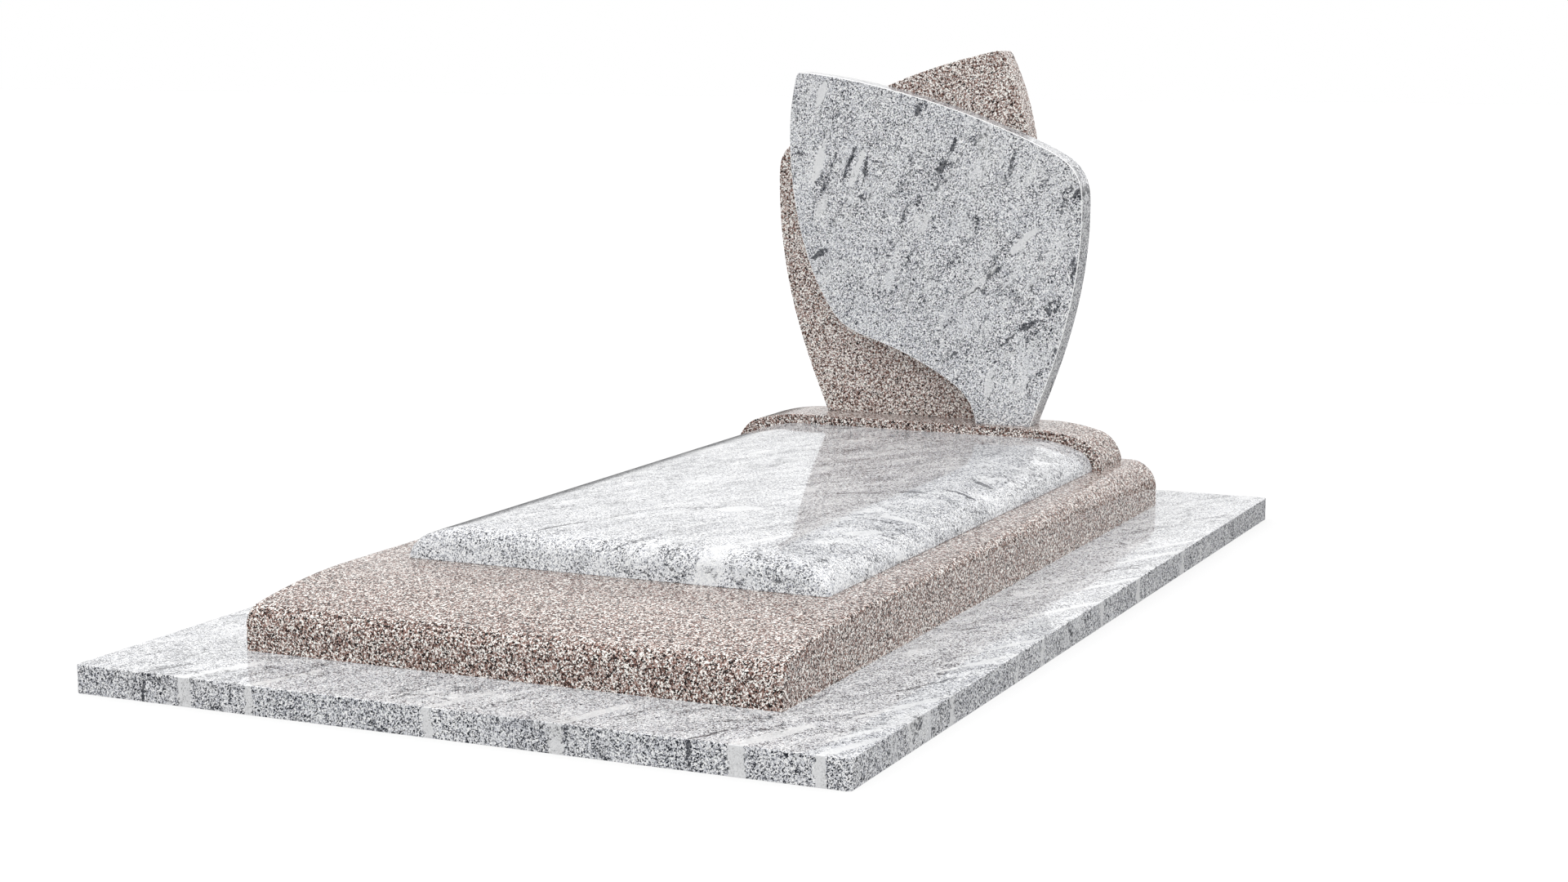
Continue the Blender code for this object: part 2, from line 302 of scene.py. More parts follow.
def crowned_section(half, height, edge_round, y, bottom, ease=0.0):
    """A section with a level middle, crowned sides and rounded edges. It is eased in at its ends."""
    run = half - LID_FLAT_WIDTH / 2
    right = [(half - ease, 0.0)]
    for inset in crown_insets(edge_round, run):
        fall = crown_fall(inset, CROWN_DROP, run) + edge_fall(inset, edge_round)
        share = max(0.0, 1 - inset / edge_round)
        right.append((half - inset - ease * share, height - fall - ease))
    left = [(-x, z) for x, z in reversed(right)]
    return [(x, y, bottom + z) for x, z in right + left]


def make_plinth(material):
    """The plinth: the lid's section, larger by what it stands proud, with eased ends."""
    low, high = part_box("headstone_plinth")
    edge_round = LID_EDGE_ROUND + PLINTH_PROUD
    places = []
    for inset in arc_insets(PLINTH_END_ARRIS, ARRIS_STEPS):
        ease = edge_fall(inset, PLINTH_END_ARRIS)
        places.append((low.y + inset, ease))
        places.append((high.y - inset, ease))
    bm = bmesh.new()
    rows = bridge(bm, [crowned_section(high.x, high.z - low.z, edge_round, y, low.z, ease)
                       for y, ease in sorted(places)])
    bm.faces.new(rows[0])
    bm.faces.new(rows[-1])
    add_piece(bm, "headstone_plinth", material)


def make_seat_cutter():
    """The plinth's section raised by one joint, which the feet of the leaves are cut to."""
    low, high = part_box("headstone_plinth")
    depth = high.y - low.y
    edge_round = LID_EDGE_ROUND + PLINTH_PROUD
    bm = bmesh.new()
    rows = bridge(bm, [crowned_section(high.x, high.z - low.z, edge_round, y, low.z + JOINT)
                       for y in (low.y - depth, high.y + depth)])
    bm.faces.new(rows[0])
    bm.faces.new(rows[-1])
    bmesh.ops.recalc_face_normals(bm, faces=bm.faces[:])
    mesh = bpy.data.meshes.new("seat_cutter")
    bm.to_mesh(mesh)
    bm.free()
    cutter = bpy.data.objects.new("seat_cutter", mesh)
    bpy.context.scene.collection.objects.link(cutter)
    return cutter


def outline_curve(outline, height, sunk):
    """A closed Bezier curve through a leaf's outline, whose foot runs on downwards along its end tangents."""
    curve = bpy.data.curves.new("outline", "CURVE")
    curve.dimensions = "2D"
    curve.fill_mode = "BOTH"
    curve.resolution_u = OUTLINE_STEPS
    spline = curve.splines.new("BEZIER")
    spline.bezier_points.add(len(outline) + 1)
    spline.use_cyclic_u = True
    for point, (across, up, direction, before, after) in zip(spline.bezier_points, outline):
        step = Vector((math.cos(math.radians(direction)), math.sin(math.radians(direction)), 0)) * height
        point.handle_left_type = "FREE"
        point.handle_right_type = "FREE"
        point.co = (across * height, up * height, 0)
        point.handle_left = point.co - before * step
        point.handle_right = point.co + after * step
    for point, end in zip(spline.bezier_points[-2:], (outline[-1], outline[0])):
        lean = math.tan(math.radians(end[2]))
        point.co = (end[0] * height - sunk / lean, end[1] * height - sunk, 0)
        point.handle_left_type = "VECTOR"
        point.handle_right_type = "VECTOR"
    return curve


def make_leaf(node, outline, height, cutter, slot, material):
    """A headstone leaf: rounded arrises, and a foot cut to the plinth's top."""
    low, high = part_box(node)
    plinth_low, plinth_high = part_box("headstone_plinth")
    curve = outline_curve(outline, height, (plinth_high.z - plinth_low.z) / 2)
    curve.extrude = (high.y - low.y) / 2
    drawn = bpy.data.objects.new("drawn", curve)
    bpy.context.scene.collection.objects.link(drawn)
    drawn.location = (0, (low.y + high.y) / 2, plinth_high.z)
    drawn.rotation_euler = (math.radians(90), 0, 0)
    bpy.context.view_layer.update()
    mesh = bpy.data.meshes.new_from_object(drawn.evaluated_get(bpy.context.evaluated_depsgraph_get()))
    mesh.transform(drawn.matrix_world)
    bpy.data.objects.remove(drawn, do_unlink=True)
    bm = bmesh.new()
    bm.from_mesh(mesh)
    bmesh.ops.remove_doubles(bm, verts=bm.verts[:], dist=SAME_OUTLINE_POINT)
    bm.normal_update()
    # Each side becomes one face, because the edges of its triangles would hold the arris back.
    sides = [face for face in bm.faces if abs(face.normal.y) > 0.999]
    bmesh.ops.dissolve_faces(bm, faces=sides)
    bmesh.ops.recalc_face_normals(bm, faces=bm.faces[:])
    bm.to_mesh(mesh)
    bm.free()
    slab = bpy.data.objects.new("slab", mesh)
    bpy.context.scene.collection.objects.link(slab)
    arris = slab.modifiers.new("arris", "BEVEL")
    arris.width = LEAF_ARRIS
    arris.segments = LEAF_ARRIS_STEPS
    arris.limit_method = "ANGLE"
    arris.angle_limit = LEAF_ARRIS_ANGLE
    seat = slab.modifiers.new("seat", "BOOLEAN")
    seat.operation = "DIFFERENCE"
    seat.solver = "EXACT"
    seat.object = cutter
    bpy.context.view_layer.update()
    shaped = bpy.data.meshes.new_from_object(slab.evaluated_get(bpy.context.evaluated_depsgraph_get()))
    bpy.data.objects.remove(slab, do_unlink=True)
    bm = bmesh.new()
    bm.from_mesh(shaped)
    for vert in bm.verts:
        vert.co.z = min(vert.co.z, high.z)
    add_piece(bm, node, material)


# Granites.

# Direction of the grey granite's bands on each stone, in degrees from +X: in plan on the slabs, and as seen
# from the front on the leaf.
BASE_FLOW = 64
LID_FLOW = 66
LEAF_FLOW = 62

# The patches of the grey granite that stand out, listed one by one. Each has its middle (in plan on the
# slabs, across and up on the leaf), half its length and half its width, its tilt in degrees and its strength.
LEAF_DARK = (
    (0.203, 0.421, 0.036, 0.0050, 33, 1.00),
    (0.252, 0.455, 0.034, 0.0085, 33, 1.00),
    (0.287, 0.466, 0.020, 0.0035, -12, 0.90),
    (0.310, 0.500, 0.038, 0.0190, 50, 0.60),
    (-0.241, 0.599, 0.030, 0.0075, 33, 1.00),
    (0.130, 0.530, 0.030, 0.0035, 48, 0.80),
    (0.176, 0.570, 0.032, 0.0032, 33, 0.70),
    (0.074, 0.845, 0.026, 0.0090, 60, 0.90),
    (0.049, 0.800, 0.030, 0.0120, 62, 0.80),
    (0.030, 0.762, 0.032, 0.0220, 60, 0.45),
    (-0.172, 0.800, 0.066, 0.0065, 67, 0.85),
    (-0.134, 0.790, 0.054, 0.0055, 80, 0.85),
    (-0.006, 0.924, 0.028, 0.0110, 75, 0.85),
    (0.014, 0.937, 0.020, 0.0080, 70, 0.50),
    (0.208, 0.800, 0.062, 0.0085, 74, 0.55),
    (0.085, 0.385, 0.014, 0.0070, 20, 0.95),
    (0.364, 0.748, 0.022, 0.0110, 50, 0.85),
    (0.357, 0.585, 0.042, 0.0080, 84, 0.75),
    (0.225, 0.650, 0.052, 0.0085, 50, 0.50),
    (-0.292, 0.820, 0.014, 0.0055, 20, 0.75),
    (-0.106, 0.607, 0.032, 0.0035, 85, 0.45),
    (-0.028, 0.510, 0.030, 0.0035, 72, 0.45),
)
LEAF_PALE = (
    (-0.247, 0.800, 0.056, 0.0100, 72, 1.00),
    (-0.153, 0.790, 0.052, 0.0090, 70, 1.00),
    (-0.240, 0.700, 0.026, 0.0120, 70, 0.85),
    (0.240, 0.640, 0.046, 0.0100, 42, 0.95),
    (0.146, 0.552, 0.054, 0.0060, 40, 0.90),
    (0.012, 0.672, 0.030, 0.0080, 68, 0.90),
    (0.165, 0.325, 0.036, 0.0120, 80, 0.80),
    (0.213, 0.392, 0.020, 0.0060, 20, 0.80),
    (-0.240, 0.955, 0.036, 0.0100, 70, 0.90),
)
LID_DARK = (
    (-0.275, 0.130, 0.062, 0.0045, 50, 0.80),
    (-0.145, -0.530, 0.080, 0.0080, 68, 1.00),
    (-0.098, -0.410, 0.062, 0.0060, 72, 0.85),
    (-0.100, -0.370, 0.050, 0.0260, 60, 0.30),
    (-0.135, -0.575, 0.055, 0.0320, 50, 0.32),
    (0.203, -0.004, 0.064, 0.0060, 28, 1.00),
    (0.290, 0.052, 0.036, 0.0120, 38, 0.85),
    (-0.010, 0.500, 0.095, 0.0070, 76, 0.60),
    (0.052, 0.370, 0.070, 0.0120, 66, 0.55),
    (0.358, 0.140, 0.050, 0.0110, 8, 0.90),
    (0.358, 0.265, 0.040, 0.0130, -22, 0.80),
    (-0.160, -0.290, 0.062, 0.0065, 74, 0.45),
    (0.185, 0.390, 0.060, 0.0060, 76, 0.50),
    (-0.290, -0.260, 0.060, 0.0050, 74, 0.40),
    (0.345, -0.215, 0.038, 0.0060, 40, 0.70),
    (0.372, -0.560, 0.020, 0.0100, 60, 0.60),
    (0.030, -0.100, 0.030, 0.0060, 45, 0.45),
)
LID_PALE = (
    (0.070, -0.250, 0.052, 0.0300, 40, 1.00),
    (0.245, -0.500, 0.060, 0.0100, 68, 0.90),
    (0.355, -0.165, 0.062, 0.0120, 32, 0.90),
    (-0.180, 0.380, 0.046, 0.0140, 74, 0.90),
    (-0.240, 0.350, 0.040, 0.0070, 74, 0.90),
    (0.320, 0.468, 0.070, 0.0060, 2, 0.80),
    (0.350, -0.330, 0.060, 0.0140, 70, 0.80),
)
BASE_DARK = (
    (-0.545, -1.160, 0.075, 0.0060, 68, 1.00),
    (0.455, -1.160, 0.075, 0.0065, 68, 1.00),
    (0.080, -1.110, 0.080, 0.0080, 72, 0.60),
    (0.300, -1.080, 0.085, 0.0070, 70, 0.60),
    (0.640, -0.740, 0.120, 0.0060, 66, 0.80),
    (0.640, 0.290, 0.110, 0.0060, 66, 0.80),
    (0.560, -0.330, 0.040, 0.0120, 60, 0.55),
)
BASE_PALE = (
    (-0.460, -1.145, 0.115, 0.0165, 70, 1.00),
    (-0.333, -1.145, 0.110, 0.0100, 70, 1.00),
    (0.003, -1.145, 0.105, 0.0110, 70, 1.00),
    (0.232, -1.145, 0.115, 0.0150, 70, 1.00),
    (0.536, -1.145, 0.120, 0.0170, 70, 1.00),
    (0.668, -1.150, 0.090, 0.0120, 70, 1.00),
    (0.660, -1.055, 0.120, 0.0060, 66, 1.00),
    (0.660, -0.880, 0.130, 0.0100, 66, 1.00),
    (0.660, -0.570, 0.120, 0.0080, 66, 1.00),
    (0.660, -0.440, 0.120, 0.0060, 66, 1.00),
    (0.660, -0.106, 0.130, 0.0080, 66, 1.00),
    (0.660, 0.128, 0.130, 0.0090, 66, 1.00),
    (0.660, 0.430, 0.130, 0.0090, 66, 1.00),
    (0.660, 0.563, 0.120, 0.0070, 66, 1.00),
)

# Tones of the grey granite from its dark specks to its pale ground, and of the pink granite's crystals.
GREY_TONES = (
    (0.14, (0.020, 0.022, 0.030)),
    (0.24, (0.100, 0.105, 0.125)),
    (0.32, (0.360, 0.370, 0.405)),
    (0.40, (0.560, 0.570, 0.610)),
    (0.52, (0.640, 0.650, 0.690)),
    (0.62, (0.740, 0.750, 0.775)),
    (0.76, (0.950, 0.950, 0.950)),
)
PINK_TONES = (
    (0.000, (0.012, 0.010, 0.010)),
    (0.210, (0.075, 0.046, 0.040)),
    (0.330, (0.265, 0.150, 0.123)),
    (0.500, (0.430, 0.288, 0.246)),
    (0.600, (0.550, 0.490, 0.455)),
    (0.735, (1.000, 0.970, 0.930)),
)
PALE_TONE = (0.84, 0.84, 0.83)
VEIN_TONE = (0.045, 0.048, 0.058)

# Noises that bend the grey granite's patterns one after another: scale, reach in metres, and detail. The
# bands wander widely, and the patches only get ragged rims.
BAND_BENDS = ((5.0, 0.060, 1.0), (40.0, 0.045, 2.0), (170.0, 0.030, 2.0))
PATCH_BENDS = ((40.0, 0.020, 2.0), (170.0, 0.010, 2.0))

# Scales of the grey granite's noises, from its clouds and bands to its specks, all per metre.
GATE_SCALE = 6.0
CLOUD_SCALE = 16.0
BAND_SCALE = 20.0
STREAK_SCALE = 30.0
GRAIN_SCALE = 55.0
GRIT_SCALE = 120.0
SPECK_SCALE = 370.0
FLAKE_SCALE = 520.0

# Scales of the pink granite's crystals and of the clumps that they gather in.
CRYSTAL_SCALE = 470.0
CLUMP_SCALE = 190.0

# Noise that makes the crystals of both granites uneven: its scale and its reach in metres.
CRYSTAL_BEND = (300.0, 0.0060)

# How far the bands are drawn out along their flow and down into the stone.
STRETCH_ALONG = 0.20
STRETCH_DEEP = 0.40

# Turn of the specks' coordinates, in radians, as a noise has no contrast on planes that its lattice lies in.
SPECK_TURN = (0.5, 0.7, 0.3)

# Limits between which parts of the grey granite's pattern rise from nothing to full: its pale bands, the
# gates that let bands and lines come and go, the rims of pale patches, its dark veins, and its dark specks.
BAND_LIMITS = (0.60, 0.65)
GATE_LIMITS = (0.44, 0.56)
PALE_GATE_LIMITS = (0.42, 0.54)
RIM_LIMITS = (0.46, 0.54)
VEIN_LIMITS = (0.62, 0.80)
VEIN_EDGE_LIMITS = (0.05, 0.35)
SPECK_LIMITS = (0.38, 0.30)

# Lines where a pattern passes a level: the level, how far from it a line ends, and how near to it it is full.
PALE_LINES = (0.56, 0.034, 0.010)
DARK_LINES = (0.50, 0.030, 0.006)
PALE_RIMS = (0.35, 0.35, 0.05)

# How an upright slab's arris, which gets a painted highlight, is told from its edge and from its face: by how
# far it faces front or back.
ARRIS_EDGE_LIMITS = (0.02, 0.12)
ARRIS_FACE_LIMITS = (0.995, 0.97)

# The core of a patch, as a share of its size.
PALE_CORE = 0.8
DARK_CORE = 0.5

# What the crystals and the noise give to the grey specks, and the clumps to the pink crystals.
FLAKE_WEIGHT = 0.45
SPECK_WEIGHT = 0.40
CLUMP_WEIGHT = 0.90

# Contrast of the grey specks, what a dark and a pale patch add to it, and its least value.
SPECK_CONTRAST = 2.2
DARK_CONTRAST = 0.8
PALE_CONTRAST = -1.6
LEAST_CONTRAST = 0.6

# What the tone gains from the grain on level faces and from a dark patch, and the painted shade on the leaf's
# top edge.
GRAIN_TONE = 0.7
DARK_TONE = -0.10
TOP_PAINTED_SHADE = -0.12

# Strengths of the pale bands and lines, of the pale colour as a whole, and of the dark lines and rims.
PALE_STRENGTH = 0.6
DARK_STRENGTH = 0.7

# How far grit breaks up the dark veins, and how dark they get.
GRIT_REACH = 2.2
VEIN_STRENGTH = 0.85

# Roughness of the polish, and what a dark speck or a crystal adds to it.
POLISH = 0.025
SPECK_ROUGHNESS = 0.03
PINK_POLISH = 0.035
CRYSTAL_ROUGHNESS = 0.05

# How strongly the stones mirror, and the relief of their grains, with its depth in metres.
REFRACTION = 1.5
PINK_SPECULAR = 0.10
RELIEF_STRENGTH = 0.04
RELIEF_DEPTH = 0.0002

# A depth that no patch ends in.
THROUGH = 100.0


class Nodes:
    """Short calls that add nodes to a tree and join them."""

    def __init__(self, tree):
        self.tree = tree

    def add(self, kind, inputs=(), **settings):
        """A node with its settings, and with each input either joined to a socket or set to a value."""
        node = self.tree.nodes.new(kind)
        for name, value in settings.items():
            setattr(node, name, value)
        for name, value in dict(inputs).items():
            if isinstance(value, bpy.types.NodeSocket):
                self.tree.links.new(value, node.inputs[name])
            else:
                node.inputs[name].default_value = value
        return node

    def math(self, operation, *values):
        """A sum on numbers."""
        return self.add("ShaderNodeMath", enumerate(values), operation=operation).outputs[0]

    def vector(self, operation, *values):
        """A sum on vectors."""
        return self.add("ShaderNodeVectorMath", enumerate(values), operation=operation).outputs[0]

    def product(self, first, second):
        """One value times another."""
        return self.math("MULTIPLY", first, second)

    def scaled(self, value, factor, offset):
        """A value times a factor, plus an offset."""
        return self.math("MULTIPLY_ADD", value, factor, offset)

    def larger(self, first, second):
        """The larger of two values."""
        return self.math("MAXIMUM", first, second)

    def centred(self, value):
        """A value from 0 to 1, moved to lie evenly about 0."""
        return self.math("SUBTRACT", value, 0.5)

    def step(self, value, low, high):
        """A smooth step from 0 at one limit to 1 at the other."""
        node = self.add("ShaderNodeMapRange", {"Value": value, "From Min": low, "From Max": high},
                        interpolation_type="SMOOTHSTEP")
        return node.outputs[0]

    def near(self, value, level, none, full):
        """A smooth step from 0 to 1 as a value comes nearer to a level."""
        return self.step(self.math("ABSOLUTE", self.math("SUBTRACT", value, level)), none, full)

    def mix(self, share, first, second):
        """A colour between two others."""
        node = self.add("ShaderNodeMix", {0: share, 6: first, 7: second}, data_type="RGBA")
        return node.outputs[2]

    def noise(self, vector, scale, detail=2.0, roughness=0.5, output="Fac"):
        """A noise from 0 to 1, or its colour."""
        node = self.add("ShaderNodeTexNoise", {"Vector": vector, "Scale": scale, "Detail": detail,
                                               "Roughness": roughness})
        return node.outputs[output]

    def crystals(self, vector, scale):
        """Cells of even chances from 0 to 1: three for each cell."""
        cells = self.add("ShaderNodeTexVoronoi", {"Vector": vector, "Scale": scale})
        return self.add("ShaderNodeSeparateColor", {0: cells.outputs["Color"]}).outputs

    def warp(self, vector, scale, reach, detail=2.0):
        """Coordinates moved about by a noise, by up to half the reach."""
        offset = self.vector("SUBTRACT", self.noise(vector, scale, detail, output="Color"), (0.5, 0.5, 0.5))
        return self.vector("MULTIPLY_ADD", offset, (reach, reach, reach), vector)

    def warps(self, vector, bends):
        """Coordinates moved about by several noises, one after another."""
        for scale, reach, detail in bends:
            vector = self.warp(vector, scale, reach, detail)
        return vector

    def ramp(self, value, stops, interpolation="LINEAR"):
        """A colour read off a row of stops, which are places and colours."""
        ramp = self.add("ShaderNodeValToRGB", {"Fac": value})
        ramp.color_ramp.interpolation = interpolation
        while len(ramp.color_ramp.elements) < len(stops):
            ramp.color_ramp.elements.new(1.0)
        for element, (place, shade) in zip(ramp.color_ramp.elements, stops):
            element.position = place
            element.color = (*shade, 1.0)
        return ramp.outputs[0]

    def patches(self, place, patches, upright, core):
        """Lens-shaped patches, which have their full strength in their core and fade out around it."""
        total = 0.0
        for across, along, length, width, tilt, strength in patches:
            turn = math.radians(tilt)
            if upright:
                middle, rotation, size = (across, 0, along), (0, -turn, 0), (length, THROUGH, width)
            else:
                middle, rotation, size = (across, along, 0), (0, 0, turn), (length, width, THROUGH)
            inputs = {"Vector": place, "Location": middle, "Rotation": rotation, "Scale": size}
            local = self.add("ShaderNodeMapping", inputs, vector_type="TEXTURE").outputs[0]
            reach = self.add("ShaderNodeVectorMath", {0: local}, operation="LENGTH").outputs["Value"]
            total = self.larger(total, self.product(self.step(reach, 1.0, core), strength))
        return total


def colour(red, green, blue):
    """An opaque colour."""
    return (red, green, blue, 1.0)


def polished(name):
    """A new material, its node calls and its shader, with the constants of polished granite."""
    material = bpy.data.materials.new(name)
    material.use_nodes = True
    shader = material.node_tree.nodes["Principled BSDF"]
    shader.inputs["IOR"].default_value = REFRACTION
    shader.inputs["Metallic"].default_value = 0.0
    return material, Nodes(material.node_tree), shader


def finish_granite(nodes, shader, base, roughness, height):
    """Joins the colour, the polish and a very low relief of the grains to the shader."""
    relief = {"Height": height, "Strength": RELIEF_STRENGTH, "Distance": RELIEF_DEPTH}
    bump = nodes.add("ShaderNodeBump", relief)
    links = nodes.tree.links
    links.new(base, shader.inputs["Base Color"])
    links.new(roughness, shader.inputs["Roughness"])
    links.new(bump.outputs[0], shader.inputs["Normal"])


def drawn_out_along(nodes, place, flow, upright):
    """Coordinates in which a noise is drawn out along the flow of the bands, and down into the stone."""
    turn = (0, math.radians(flow), 0) if upright else (0, 0, math.radians(-flow))
    stretch = (STRETCH_ALONG, STRETCH_DEEP, 1.0) if upright else (STRETCH_ALONG, 1.0, STRETCH_DEEP)
    along = nodes.add("ShaderNodeMapping", {"Vector": place, "Rotation": turn}).outputs[0]
    return nodes.vector("MULTIPLY", along, stretch)


def grey_shares(nodes, place, bent, drawn_out, bands, patches, upright):
    """How pale and how dark the grey granite is made by its bands, lines and patches, each from 0 to 1."""
    dark, pale = patches
    ragged = nodes.warps(place, PATCH_BENDS)
    gate = nodes.noise(bent, GATE_SCALE, 1.0)
    streaks = nodes.noise(drawn_out, STREAK_SCALE)

    pale_bands = nodes.product(nodes.step(bands, *BAND_LIMITS), nodes.step(gate, *GATE_LIMITS))
    pale_lines = nodes.product(nodes.near(streaks, *PALE_LINES), nodes.step(gate, *PALE_GATE_LIMITS))
    pale_patches = nodes.patches(ragged, pale, upright, PALE_CORE)
    pale_share = nodes.larger(pale_patches, nodes.product(pale_bands, PALE_STRENGTH))
    pale_share = nodes.larger(pale_share, nodes.product(pale_lines, PALE_STRENGTH))

    dark_lines = nodes.product(nodes.near(streaks, *DARK_LINES), nodes.step(gate, *GATE_LIMITS))
    rims = nodes.product(nodes.near(pale_patches, *PALE_RIMS), nodes.step(streaks, *RIM_LIMITS))
    dark_share = nodes.patches(ragged, dark, upright, DARK_CORE)
    dark_share = nodes.larger(dark_share, nodes.product(dark_lines, DARK_STRENGTH))
    dark_share = nodes.larger(dark_share, nodes.product(rims, DARK_STRENGTH))
    return pale_share, dark_share


def painted_arris_highlight(nodes, facing):
    """Where an upright slab's face turns into its edge: the arris, where a thin white line is painted as a
    highlight.
    """
    ahead = nodes.math("ABSOLUTE", facing[1])
    return nodes.product(nodes.step(ahead, *ARRIS_EDGE_LIMITS), nodes.step(ahead, *ARRIS_FACE_LIMITS))


def grey_granite(name, flow, patches, banding, clouding, shade=0.0, upright=False):
    """Grey granite: fine specks that come and go in clouds, drawn-out pale bands, and ragged dark veins.

    The patches are its dark ones and its pale ones. The banding is how much the bands change its tone, the
    clouding how much the clouds change its contrast, and the shade is painted shade on upright faces where it
    is below 0 and painted light where it is above.
    """
    material, nodes, shader = polished(name)
    coordinates = nodes.add("ShaderNodeTexCoord").outputs
    place = coordinates["Object"]
    facing = nodes.add("ShaderNodeSeparateXYZ", {0: coordinates["Normal"]}).outputs
    bent = nodes.warps(place, BAND_BENDS)
    drawn_out = drawn_out_along(nodes, bent, flow, upright)
    bands = nodes.noise(drawn_out, BAND_SCALE, 3.0, 0.55)
    pale_share, dark_share = grey_shares(nodes, place, bent, drawn_out, bands, patches, upright)

    turned = nodes.add("ShaderNodeMapping", {"Vector": place, "Rotation": SPECK_TURN}).outputs[0]
    flakes = nodes.crystals(nodes.warp(turned, *CRYSTAL_BEND), FLAKE_SCALE)
    specks = nodes.noise(turned, SPECK_SCALE, 1.0, 0.6)
    fine = nodes.product(nodes.centred(specks), SPECK_WEIGHT)
    fine = nodes.scaled(nodes.centred(flakes[0]), FLAKE_WEIGHT, fine)
    clouds = nodes.centred(nodes.noise(bent, CLOUD_SCALE, 3.0))
    contrast = nodes.scaled(clouds, clouding, SPECK_CONTRAST)
    contrast = nodes.scaled(dark_share, DARK_CONTRAST, contrast)
    contrast = nodes.scaled(pale_share, PALE_CONTRAST, contrast)
    contrast = nodes.larger(contrast, LEAST_CONTRAST)

    tone = nodes.scaled(fine, contrast, nodes.scaled(bands, banding, 0.5 - banding / 2))
    tone = nodes.scaled(dark_share, DARK_TONE, tone)
    grain = nodes.centred(nodes.noise(drawn_out, GRAIN_SCALE))
    tone = nodes.scaled(grain, nodes.product(facing[2], GRAIN_TONE), tone)
    # Painted light and shade: the tone moves by the shade on upright faces, darker where it is below 0 and
    # paler above.
    sideways = nodes.math("SUBTRACT", 1.0, nodes.math("ABSOLUTE", facing[2]))
    tone = nodes.scaled(sideways, shade, tone)
    # Painted shade: the leaf's top edge is made darker, as it faces the bright overhead light.
    if upright:
        tone = nodes.scaled(nodes.larger(facing[2], 0.0), TOP_PAINTED_SHADE, tone)
    base = nodes.ramp(tone, GREY_TONES)
    base = nodes.mix(nodes.product(pale_share, PALE_STRENGTH), base, colour(*PALE_TONE))

    grit = nodes.centred(nodes.noise(turned, GRIT_SCALE))
    vein = nodes.math("ADD", fine, nodes.scaled(grit, GRIT_REACH, dark_share))
    vein = nodes.product(nodes.step(vein, *VEIN_LIMITS), nodes.step(dark_share, *VEIN_EDGE_LIMITS))
    base = nodes.mix(nodes.product(vein, VEIN_STRENGTH), base, colour(*VEIN_TONE))
    if upright:
        # Painted highlight: the arris of an upright slab is painted white.
        base = nodes.mix(painted_arris_highlight(nodes, facing), base, colour(1, 1, 1))
    speck = nodes.step(tone, *SPECK_LIMITS)
    roughness = nodes.scaled(speck, SPECK_ROUGHNESS, POLISH)
    finish_granite(nodes, shader, base, roughness, nodes.math("SUBTRACT", 1.0, speck))
    return material


def pink_granite(name, paleness):
    """Pink granite: crystals of 2 to 4 mm, from cream and grey through pinkish brown to near-black.

    The paleness is by how much it has more cream than dark crystals. The leaf's copy is paler than the
    kerb's as painted light, which brightens the rear leaf where the front leaf shades it.
    """
    material, nodes, shader = polished(name)
    shader.inputs["Specular IOR Level"].default_value = PINK_SPECULAR
    place = nodes.add("ShaderNodeTexCoord").outputs["Object"]
    chance = nodes.crystals(nodes.warp(place, *CRYSTAL_BEND), CRYSTAL_SCALE)
    clumps = nodes.centred(nodes.noise(place, CLUMP_SCALE, 1.0))
    kind = nodes.scaled(clumps, CLUMP_WEIGHT, nodes.math("ADD", chance[0], paleness))
    base = nodes.ramp(kind, PINK_TONES, "CONSTANT")
    roughness = nodes.scaled(chance[1], CRYSTAL_ROUGHNESS, PINK_POLISH)
    finish_granite(nodes, shader, base, roughness, chance[1])
    return material


# Studio and camera.


def make_world():
    """A white studio: brighter overhead, darker below the horizon, and plain white behind the object."""
    world = bpy.data.worlds.new("studio")
    bpy.context.scene.world = world
    world.use_nodes = True
    nodes = Nodes(world.node_tree)
    background = world.node_tree.nodes["Background"]
    direction = nodes.add("ShaderNodeTexCoord").outputs["Generated"]
    part = nodes.add("ShaderNodeSeparateXYZ", {0: direction}).outputs
    paths = nodes.add("ShaderNodeLightPath").outputs
    sky = nodes.scaled(nodes.step(part[2], *OVERHEAD_LIMITS), OVERHEAD_GAIN, 1.0)
    below = nodes.scaled(paths["Is Glossy Ray"], GLOSSY_BELOW - DIFFUSE_BELOW, DIFFUSE_BELOW)
    above = nodes.step(part[2], *HORIZON_LIMITS)
    level = nodes.add("ShaderNodeMix", {0: above, 2: below, 3: sky}).outputs[0]
    white = nodes.add("ShaderNodeCombineColor", {0: level, 1: level, 2: level}).outputs[0]
    shown = nodes.mix(paths["Is Camera Ray"], white, colour(1, 1, 1))
    nodes.tree.links.new(shown, background.inputs["Color"])


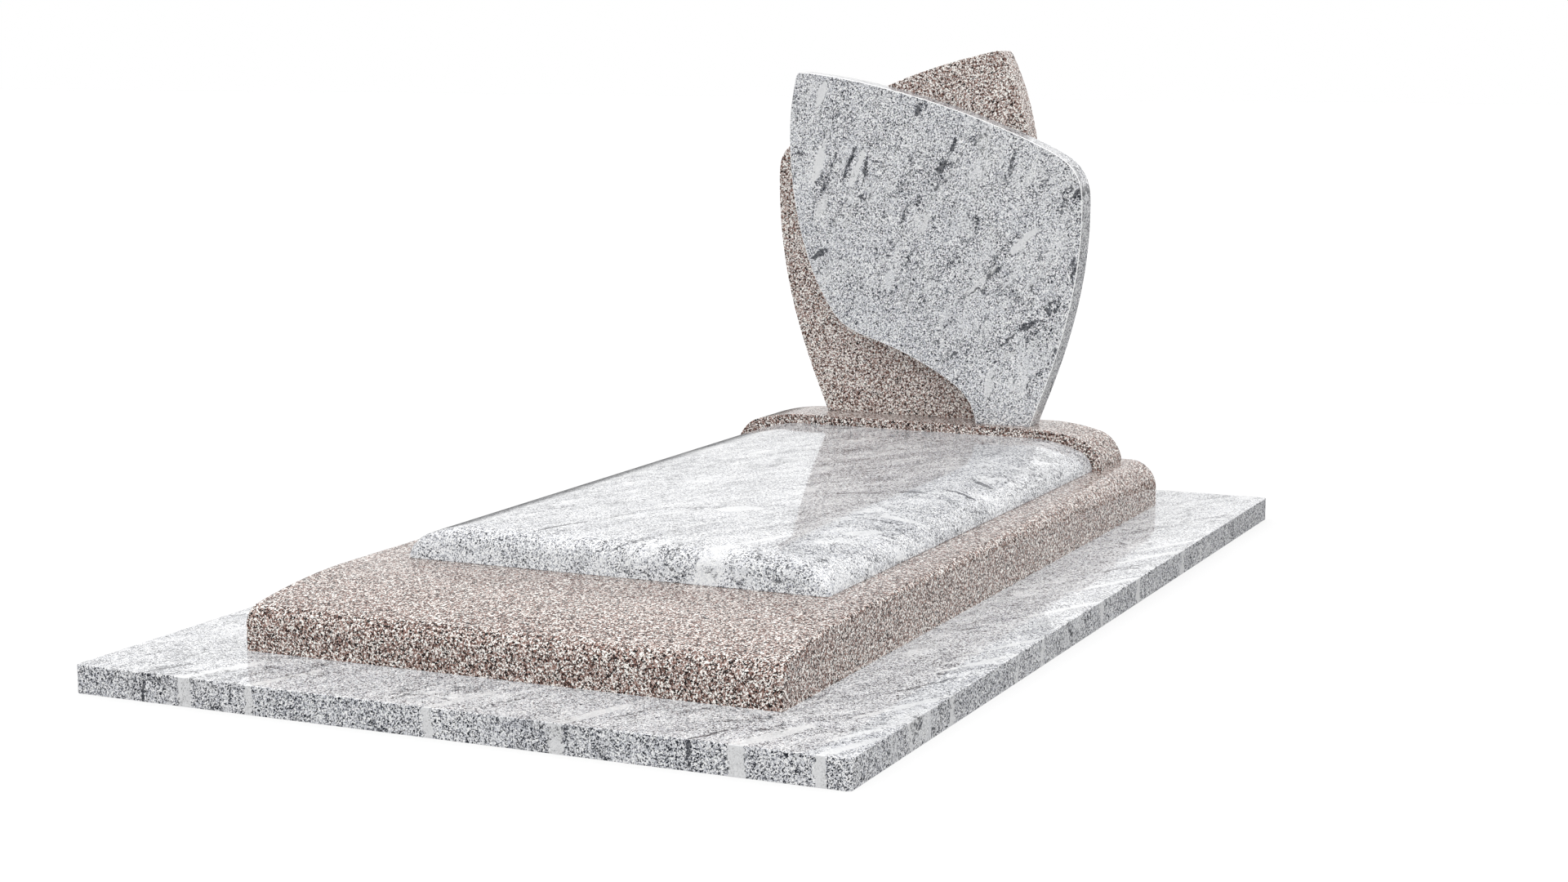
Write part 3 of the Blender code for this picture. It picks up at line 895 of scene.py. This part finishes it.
def make_floor():
    """The white floor, which shows only where the object shades it."""
    bm = bmesh.new()
    bmesh.ops.create_grid(bm, x_segments=1, y_segments=1, size=FLOOR_SIZE)
    mesh = bpy.data.meshes.new("floor")
    bm.to_mesh(mesh)
    bm.free()
    floor = bpy.data.objects.new("floor", mesh)
    bpy.context.scene.collection.objects.link(floor)
    floor.location.z = -JOINT
    material = bpy.data.materials.new("floor_white")
    material.use_nodes = True
    shader = material.node_tree.nodes["Principled BSDF"]
    shader.inputs["Base Color"].default_value = colour(FLOOR_TONE, FLOOR_TONE, FLOOR_TONE)
    shader.inputs["Roughness"].default_value = 1.0
    shader.inputs["Specular IOR Level"].default_value = 0.0
    mesh.materials.append(material)
    floor.visible_diffuse = False
    floor.visible_glossy = False


def make_camera():
    """The photograph's camera, from its fitted place, turn and dip."""
    data = bpy.data.cameras.new("camera")
    data.sensor_width = SENSOR_WIDTH
    data.lens = FOCAL_PIXELS * SENSOR_WIDTH / IMAGE_WIDTH
    data.clip_end = CAMERA_REACH
    camera = bpy.data.objects.new("camera", data)
    bpy.context.scene.collection.objects.link(camera)
    right = Vector((math.cos(CAMERA_TURN), math.sin(CAMERA_TURN), 0))
    level = Vector((-math.sin(CAMERA_TURN), math.cos(CAMERA_TURN), 0))
    ahead = level * math.cos(CAMERA_DIP) - Vector((0, 0, math.sin(CAMERA_DIP)))
    turned = Matrix((right, right.cross(ahead), -ahead)).transposed().to_4x4()
    camera.matrix_world = Matrix.Translation(CAMERA_PLACE) @ turned
    bpy.context.scene.camera = camera


def main():
    """Sets up the studio and builds the six stones with their granites."""
    make_camera()
    make_world()
    make_floor()
    bpy.context.scene.view_settings.view_transform = "Standard"
    # The shade is painted shade on the base's upright faces and painted light on the lid's.
    grey_base = grey_granite("grey_granite_base", BASE_FLOW, (BASE_DARK, BASE_PALE),
                             banding=0.28, clouding=2.5, shade=-0.065)
    grey_lid = grey_granite("grey_granite_lid", LID_FLOW, (LID_DARK, LID_PALE),
                            banding=0.60, clouding=1.4, shade=0.060)
    grey_leaf = grey_granite("grey_granite_leaf", LEAF_FLOW, (LEAF_DARK, LEAF_PALE),
                             banding=0.25, clouding=3.0, upright=True)
    # The leaf's copy is paler than the kerb's: painted light on the rear leaf, where the front leaf shades
    # it.
    pink = pink_granite("pink_granite_kerb", paleness=-0.045)
    pink_leaf = pink_granite("pink_granite_leaf", paleness=0.045)
    make_base(grey_base)
    make_surround(pink)
    make_lid(grey_lid)
    make_plinth(pink)
    cutter = make_seat_cutter()
    rear = (REAR_LEAF_OUTLINE, REAR_LEAF_HEIGHT)
    make_leaf("headstone_rear_leaf", *rear, cutter, "pink_granite", pink_leaf)
    front = (FRONT_LEAF_OUTLINE, FRONT_LEAF_HEIGHT)
    make_leaf("headstone_front_leaf", *front, cutter, "grey_granite", grey_leaf)
    bpy.data.objects.remove(cutter, do_unlink=True)


main()
